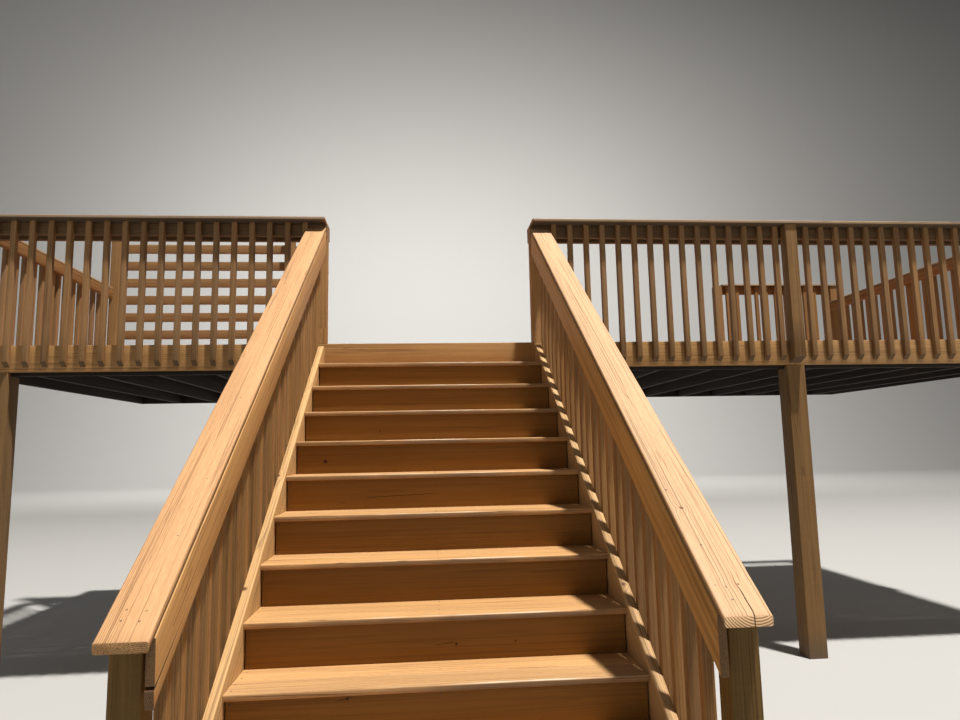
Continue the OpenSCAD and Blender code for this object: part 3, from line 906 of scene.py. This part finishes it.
sticks = Heads("baluster_nails", 14)
for n in sorted(NODES):
    if "baluster" not in n:
        continue
    for lo, hi in boards[n]:
        c = (lo + hi) / 2
        if n in ("stair_balusters_left", "balusters_side_left"):
            out, face = -X, lo.x
        elif n in ("stair_balusters_right", "balusters_side_right"):
            out, face = X, hi.x
        elif n == "balusters_back":
            out, face = Y, hi.y
        else:
            out, face = -Y, lo.y
        for z in (hi.z - 0.055, hi.z - 0.095, lo.z + 0.075, lo.z + 0.115):
            at = Vector((face, c.y, z)) if abs(out.x) > 0.5 else Vector((c.x, face, z))
            sticks.near(at, out, spread=0.004, r=0.0028, up=0.0004, sides=8)
sticks.make()

# ------------------------------------------------------------------ floor, light, camera
def plain(name, colour, rough):
    mat = bpy.data.materials.new(name)
    t, bsdf = shader(mat)
    co = t.new("ShaderNodeTexCoord").outputs["Object"]
    n = t.noise(t.vm("MULTIPLY", co, (0.7, 0.7, 0.7)), detail=3.0)
    a = tuple(c * 0.985 for c in colour)
    t.put(bsdf.inputs["Base Color"], t.mix(n, a, colour))
    bsdf.inputs["Roughness"].default_value = rough
    return mat


def floor():
    bm = bmesh.new()
    z = GROUND - 0.0005
    R = 60.0
    prof = [(-R, z), (26.0, z)]
    for k in range(1, 13):
        a = k / 12 * math.pi / 2
        prof.append((26.0 + 9.0 * math.sin(a), z + 9.0 * (1 - math.cos(a))))
    prof.append((35.0, z + 40.0))
    rows = [[bm.verts.new((x, y, h)) for x in (-R, R)] for y, h in prof]
    for a, b in zip(rows, rows[1:]):
        bm.faces.new((a[0], a[1], b[1], b[0]))
    me = bpy.data.meshes.new("studio_floor")
    bm.to_mesh(me)
    bm.free()
    for p in me.polygons:
        p.use_smooth = True
    ob = bpy.data.objects.new("studio_floor", me)
    bpy.context.scene.collection.objects.link(ob)
    me.materials.append(plain("pale_floor", (0.40, 0.393, 0.38), 0.9))


floor()


def area(name, at, to, size, power, colour=(1, 1, 1)):
    d = bpy.data.lights.new(name, "AREA")
    d.shape = "RECTANGLE"
    d.size, d.size_y = size
    d.energy = power
    d.color = colour
    ob = bpy.data.objects.new(name, d)
    bpy.context.scene.collection.objects.link(ob)
    ob.location = at
    ob.rotation_euler = (Vector(to) - Vector(at)).to_track_quat("-Z", "Y").to_euler()
    return ob


world = bpy.data.worlds.new("studio")
bpy.context.scene.world = world
world.use_nodes = True
world.node_tree.nodes["Background"].inputs[0].default_value = (0.98, 0.98, 0.97, 1)
world.node_tree.nodes["Background"].inputs[1].default_value = 0.13
bpy.context.scene.view_settings.view_transform = "Standard"

mid = Vector((0.4, -4.0, 0.0))
area("key", mid + Vector((6.0, -5.1, 30.2)), mid, (1.3, 1.3), 21000, (1.0, 0.97, 0.92))
area("fill", mid + Vector((-9.0, -9.0, 4.0)), mid, (7.0, 5.0), 80, (1.0, 0.99, 0.97))
area("back", Vector((0.0, 17.0, 12.0)), Vector((0.0, 33.0, 5.0)), (30.0, 6.0), 6000, (1.0, 0.99, 0.98))

cam_data = bpy.data.cameras.new("camera")
cam_data.sensor_width = 36.0
cam_data.sensor_fit = "HORIZONTAL"
cam_data.lens = 679.48 / 960 * 36.0
cam_data.clip_start = 0.05
cam_data.clip_end = 300
cam = bpy.data.objects.new("camera", cam_data)
bpy.context.scene.collection.objects.link(cam)
pitch, yaw, roll = math.radians(7.41), math.radians(4.78), -0.0197
F = Vector((math.sin(yaw) * math.cos(pitch), math.cos(yaw) * math.cos(pitch), math.sin(pitch)))
right = Vector((math.cos(yaw), -math.sin(yaw), 0))
up = right.cross(F)
r2 = right * math.cos(roll) + up * math.sin(roll)
u2 = right * -math.sin(roll) + up * math.cos(roll)
m = Matrix((r2, u2, -F)).transposed().to_4x4()
m.translation = Vector((-0.0541, -7.7995, -0.6512))
cam.matrix_world = m
bpy.context.scene.camera = cam
